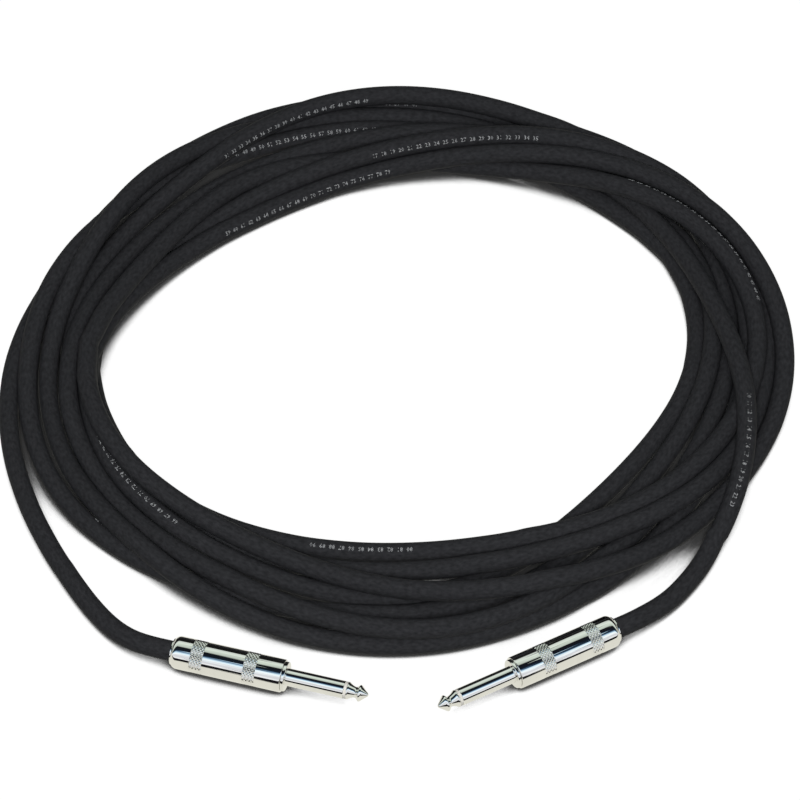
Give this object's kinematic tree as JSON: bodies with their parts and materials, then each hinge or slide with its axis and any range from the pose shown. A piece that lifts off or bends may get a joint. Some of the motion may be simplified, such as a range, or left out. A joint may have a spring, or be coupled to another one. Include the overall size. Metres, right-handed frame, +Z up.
{
  "type": "instrument cable",
  "caption": "Coiled black instrument cable with a straight nickel-plated quarter-inch two-pole phone plug on each end; each plug's knurled handle screws off over the cord.",
  "frame": {"origin": "on the floor, at the middle of the box round the two plugs", "axes": "+X to the right along the row of the two plugs, +Y from the plugs towards the coil, +Z up from the floor"},
  "size_m": [0.3011, 0.3078, 0.0153],
  "materials": {
    "jacket": "matte",
    "nickel_plate": "polished",
    "white_nylon": "satin",
    "clear_nylon": "satin",
    "brass_sheet": "satin",
    "red_insulation": "satin",
    "black_insulation": "satin",
    "copper": "bright",
    "solder": "bright"
  },
  "bodies": {
    "cable": {"sleeve_contact_a": "nickel_plate", "tip_contact_a": "nickel_plate", "tip_insulator_a": "white_nylon", "rod_insulator_a": "white_nylon", "ground_terminal_a": "brass_sheet", "terminal_washer_a": "white_nylon", "tip_terminal_a": "brass_sheet", "tip_lead_a": "red_insulation", "tip_core_a": "copper", "tip_solder_a": "solder", "ground_lead_a": "black_insulation", "ground_core_a": "copper", "ground_solder_a": "solder", "sleeve_contact_b": "nickel_plate", "tip_contact_b": "nickel_plate", "tip_insulator_b": "white_nylon", "rod_insulator_b": "white_nylon", "ground_terminal_b": "brass_sheet", "terminal_washer_b": "white_nylon", "tip_terminal_b": "brass_sheet", "tip_lead_b": "red_insulation", "tip_core_b": "copper", "tip_solder_b": "solder", "ground_lead_b": "black_insulation", "ground_core_b": "copper", "ground_solder_b": "solder", "cable_tail_a": "jacket", "cable_coil": "jacket", "cable_tail_b": "jacket"},
    "liner_a": {"liner_a": "clear_nylon"},
    "handle_a": {"handle_a": "nickel_plate"},
    "liner_b": {"liner_b": "clear_nylon"},
    "handle_b": {"handle_b": "nickel_plate"}
  },
  "joints": [
    {"name": "liner_slide_a", "type": "slide", "parent": "cable", "child": "liner_a", "axis": [-0.9613, 0.2756, 0], "range_m": [0, 0.0064]},
    {"name": "handle_turn_a", "type": "hinge", "parent": "liner_a", "child": "handle_a", "pos_m": [-0.04, -0.006, 0.006], "axis": [-0.9613, 0.2756, 0], "range_deg": [0, 2880]},
    {"name": "liner_slide_b", "type": "slide", "parent": "cable", "child": "liner_b", "axis": [0.8746, 0.4848, 0], "range_m": [0, 0.0064]},
    {"name": "handle_turn_b", "type": "hinge", "parent": "liner_b", "child": "handle_b", "pos_m": [0.0425, -0.0046, 0.006], "axis": [0.8746, 0.4848, 0], "range_deg": [0, 2880]}
  ],
  "couplings": [
    {"joint": "liner_slide_a", "follows": "handle_turn_a", "m_per_rad": 0.00012732},
    {"joint": "liner_slide_b", "follows": "handle_turn_b", "m_per_rad": 0.00012732}
  ]
}
